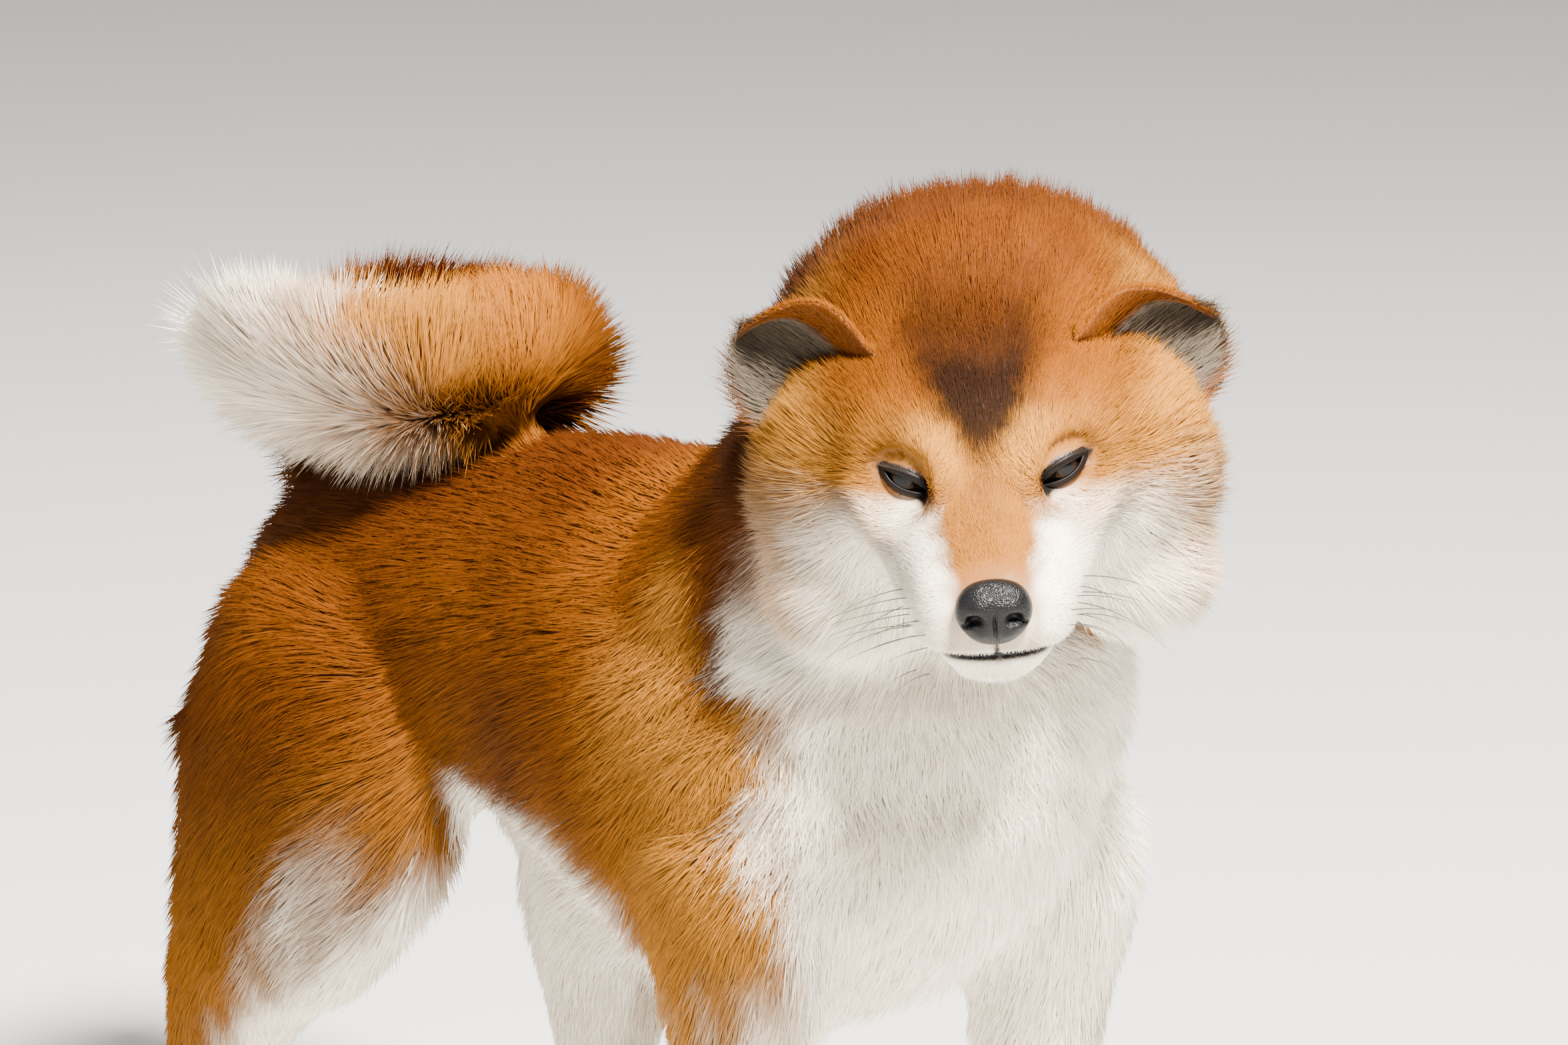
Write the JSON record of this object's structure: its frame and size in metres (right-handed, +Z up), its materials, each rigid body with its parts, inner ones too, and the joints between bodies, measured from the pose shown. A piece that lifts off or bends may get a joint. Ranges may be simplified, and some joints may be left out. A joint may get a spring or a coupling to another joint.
{
  "type": "shiba inu",
  "caption": "Still life-size shiba inu standing with its head lowered and turned to its right, prick ears turned out and a curled bushy tail on its back.",
  "frame": {"origin": "middle of the model's footprint box, on the floor", "axes": "+Z up, the body faces -Y and the dog's left side is +X"},
  "size_m": [0.2306, 0.6458, 0.5504],
  "materials": {
    "red_coat": "matt",
    "pale_coat": "matt",
    "nose_leather": "satin",
    "eye": "gloss",
    "horn": "satin"
  },
  "bodies": {
    "root": {"claw_fore_left_1": "horn", "claw_fore_left_2": "horn", "claw_fore_left_3": "horn", "claw_fore_left_4": "horn", "claw_fore_right_1": "horn", "claw_fore_right_2": "horn", "claw_fore_right_3": "horn", "claw_fore_right_4": "horn", "claw_hind_left_1": "horn", "claw_hind_left_2": "horn", "claw_hind_left_3": "horn", "claw_hind_left_4": "horn", "claw_hind_right_1": "horn", "claw_hind_right_2": "horn", "claw_hind_right_3": "horn", "claw_hind_right_4": "horn", "ear_left": "red_coat", "ear_right": "red_coat", "eye_left": "eye", "eye_right": "eye", "head": "red_coat", "jaw": "pale_coat", "leg_lower_fore_left": "red_coat", "leg_lower_fore_right": "red_coat", "leg_lower_hind_left": "red_coat", "leg_lower_hind_right": "red_coat", "leg_upper_fore_left": "red_coat", "leg_upper_fore_right": "red_coat", "leg_upper_hind_left": "red_coat", "leg_upper_hind_right": "red_coat", "neck": "red_coat", "nose": "nose_leather", "paw_fore_left": "pale_coat", "paw_fore_right": "pale_coat", "paw_hind_left": "pale_coat", "paw_hind_right": "pale_coat", "tail_base": "red_coat", "tail_end": "red_coat", "tail_rise": "red_coat", "tail_turn": "red_coat", "torso": "red_coat"}
  },
  "joints": []
}
